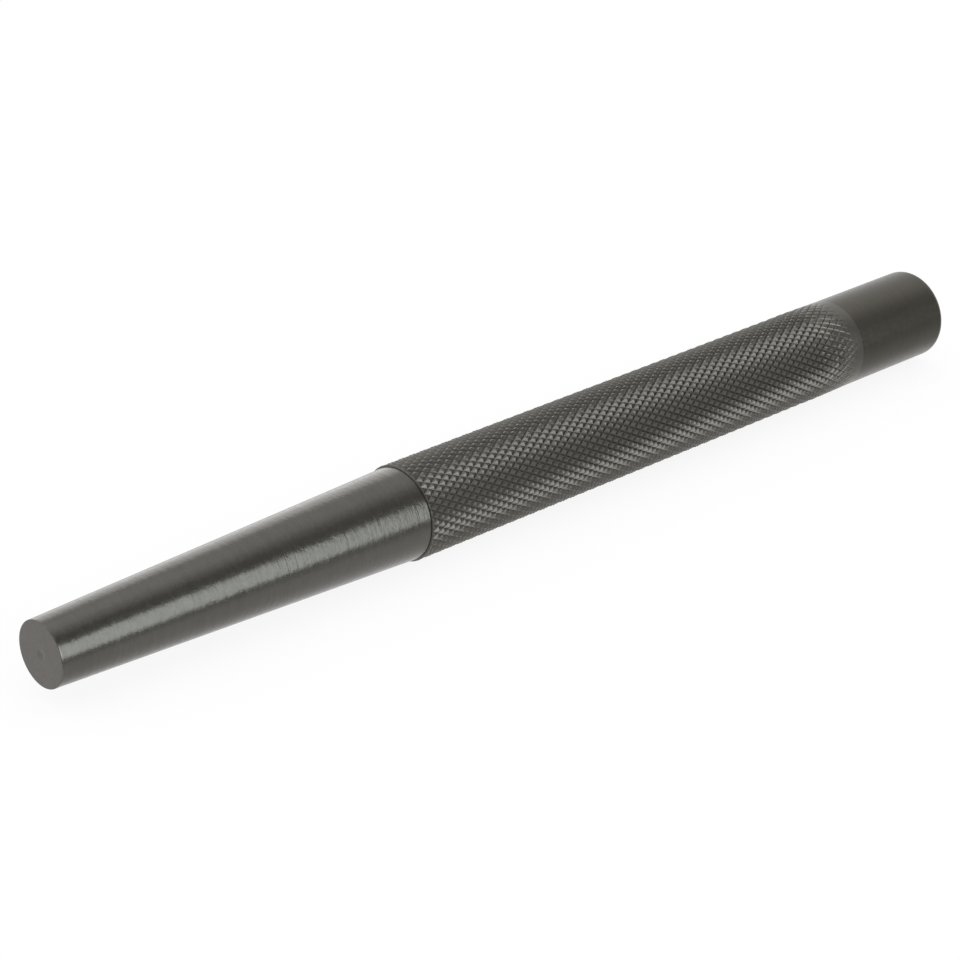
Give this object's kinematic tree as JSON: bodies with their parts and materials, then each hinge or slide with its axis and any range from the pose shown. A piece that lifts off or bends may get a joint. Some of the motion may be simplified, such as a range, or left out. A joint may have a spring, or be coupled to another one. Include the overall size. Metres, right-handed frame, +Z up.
{
  "type": "taper punch",
  "caption": "Blackened steel taper punch: a flat-ended tapered shank, a diamond-knurled grip and a plain chamfered head that a hammer strikes.",
  "frame": {"origin": "on the table under the middle of the punch as it lies on its grip", "axes": "+X along the bar from the tip to the struck head, +Z up from the table, +Y across"},
  "size_m": [0.182, 0.015, 0.015],
  "materials": {
    "ground_steel": "blackened, fine turned and ground lines, satin",
    "knurled_steel": "blackened, diamond knurl, satin",
    "turned_steel": "blackened, fine turned, dull satin"
  },
  "bodies": {
    "root": {"tapered_shank": "ground_steel", "knurled_grip": "knurled_steel", "striking_head": "turned_steel"}
  },
  "joints": []
}
